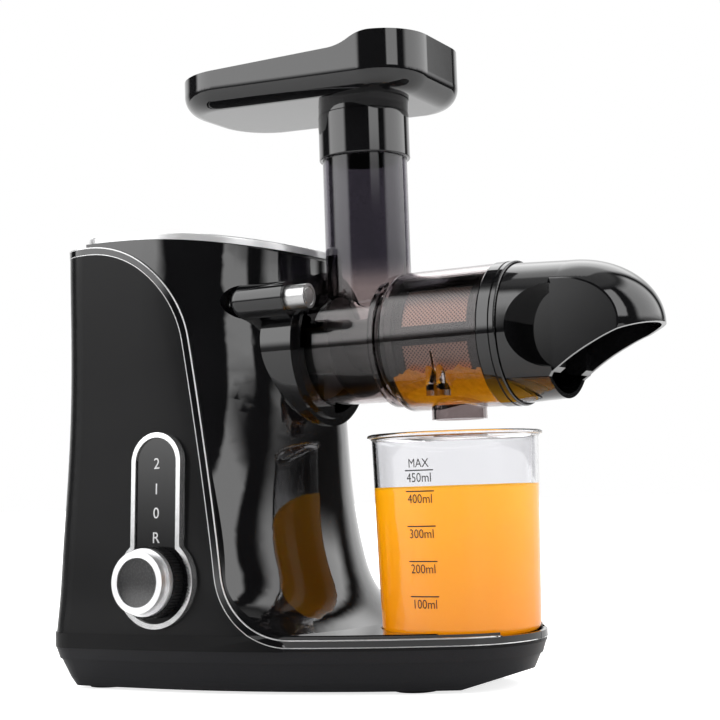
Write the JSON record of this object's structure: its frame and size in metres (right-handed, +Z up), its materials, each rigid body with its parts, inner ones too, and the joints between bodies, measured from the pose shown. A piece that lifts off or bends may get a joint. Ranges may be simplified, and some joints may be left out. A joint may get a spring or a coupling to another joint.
{
  "type": "cold press juicer",
  "caption": "Horizontal slow juicer: a flared motor column carries a smoky pressing drum with a feed tube, hopper tray and hooded pulp nose over a round seat for a measuring cup",
  "frame": {"origin": "on the table plane under the middle of the object's footprint box", "axes": "+X from the motor column towards the pulp nose, along the auger; +Y to the far side, away from the control knob; +Z up"},
  "size_m": [0.3292, 0.1707, 0.338],
  "materials": {
    "shell_black": "satin black moulding",
    "core_gloss": "high gloss black",
    "chrome_trim": "polished trim",
    "pan_grey": "fine texture dark grey",
    "rubber": "matt",
    "smoked_clear": "transparent smoky grey",
    "clear": "transparent clear",
    "nose_gloss": "high gloss black",
    "silver_knob": "turned silver face",
    "steel": "fine steel",
    "auger_plastic": "satin black",
    "gear_nylon": "natural nylon",
    "case_grey": "glass filled moulding",
    "brass": "machined",
    "board_green": "lacquered board",
    "seal_rubber": "silicone",
    "mesh_copper": "perforated, warm tinted"
  },
  "bodies": {
    "stand": {"base_pan": "pan_grey", "rubber_feet": "rubber", "base_screws": "steel", "front_shell": "shell_black", "rear_shell": "shell_black", "front_trim": "core_gloss", "rear_trim": "core_gloss", "core_housing": "core_gloss", "top_trim_ring": "chrome_trim", "top_cover": "shell_black", "control_bezel": "chrome_trim", "control_plate": "core_gloss", "switch_body": "case_grey", "socket_ring": "core_gloss", "button_housing": "core_gloss", "gearbox_case": "case_grey", "gearbox_cover": "case_grey", "gearbox_screws": "steel", "front_bearing": "steel", "rear_bearing": "steel", "gear_axles": "steel", "motor_can": "steel", "motor_end_cap": "case_grey", "motor_magnets": "case_grey", "motor_bush": "brass", "circuit_board": "board_green", "cable_gland": "rubber", "shaft_seal": "seal_rubber"},
    "knob": {"knob_skirt": "shell_black", "knob_ring": "silver_knob", "knob_cap": "pan_grey", "switch_shaft": "brass"},
    "button": {"release_button": "silver_knob", "lock_pin": "steel", "button_spring": "steel"},
    "rotor": {"motor_armature": "steel", "motor_commutator": "brass", "motor_shaft": "steel", "motor_pinion": "brass"},
    "idler_one": {"first_gear": "gear_nylon"},
    "idler_two": {"second_gear": "gear_nylon"},
    "drive": {"output_gear": "gear_nylon", "output_shaft": "steel", "auger": "auger_plastic", "auger_seal": "seal_rubber"},
    "drum": {"juice_housing": "smoked_clear", "tube_collar": "smoked_clear", "strainer_frame": "auger_plastic", "strainer_mesh": "mesh_copper", "drum_gasket": "seal_rubber"},
    "lock": {"lock_ring": "nose_gloss"},
    "nose_part": {"nose": "nose_gloss"},
    "tray": {"hopper_tray": "nose_gloss"},
    "cup": {"juice_cup": "clear"}
  },
  "joints": [
    {"name": "auger_spin", "type": "hinge", "parent": "stand", "child": "drive", "pos_m": [-0.07065, 0.00739, 0.1785], "axis": [1, 0, 0], "continuous": true},
    {"name": "second_gear_turn", "type": "hinge", "parent": "stand", "child": "idler_two", "pos_m": [-0.08065, 0.00739, 0.13787], "axis": [1, 0, 0], "continuous": true},
    {"name": "first_gear_turn", "type": "hinge", "parent": "stand", "child": "idler_one", "pos_m": [-0.09065, 0.02738, 0.11551], "axis": [1, 0, 0], "continuous": true},
    {"name": "motor_turn", "type": "hinge", "parent": "stand", "child": "rotor", "pos_m": [-0.12565, 0.00739, 0.10911], "axis": [1, 0, 0], "continuous": true},
    {"name": "knob_turn", "type": "hinge", "parent": "stand", "child": "knob", "pos_m": [-0.08915, -0.06721, 0.0573], "axis": [0, -0.9982, 0.0593], "range_deg": [-30, 60]},
    {"name": "button_press", "type": "slide", "parent": "stand", "child": "button", "axis": [-1, 0, 0], "range_m": [0, 0.004], "stiffness_N_per_m": 800, "springref_m": -0.003, "deforming": ["button_spring"]},
    {"name": "drum_turn", "type": "hinge", "parent": "stand", "child": "drum", "pos_m": [-0.03065, 0.00739, 0.1785], "axis": [-1, 0, 0], "range_deg": [0, 45]},
    {"name": "lock_ring_turn", "type": "hinge", "parent": "drum", "child": "lock", "pos_m": [0.08535, 0.00739, 0.1785], "axis": [1, 0, 0], "range_deg": [0, 60]},
    {"name": "nose_pull", "type": "slide", "parent": "drum", "child": "nose_part", "axis": [1, 0, 0], "range_m": [0, 0.06]},
    {"name": "tray_lift", "type": "slide", "parent": "drum", "child": "tray", "axis": [0, 0, 1], "range_m": [0, 0.04]},
    {"name": "cup_lift", "type": "slide", "parent": "stand", "child": "cup", "axis": [0, 0, 1], "range_m": [0, 0.005]}
  ],
  "couplings": [
    {"joint": "second_gear_turn", "follows": "auger_spin", "ratio": -4},
    {"joint": "first_gear_turn", "follows": "auger_spin", "ratio": 16},
    {"joint": "motor_turn", "follows": "auger_spin", "ratio": -64}
  ]
}
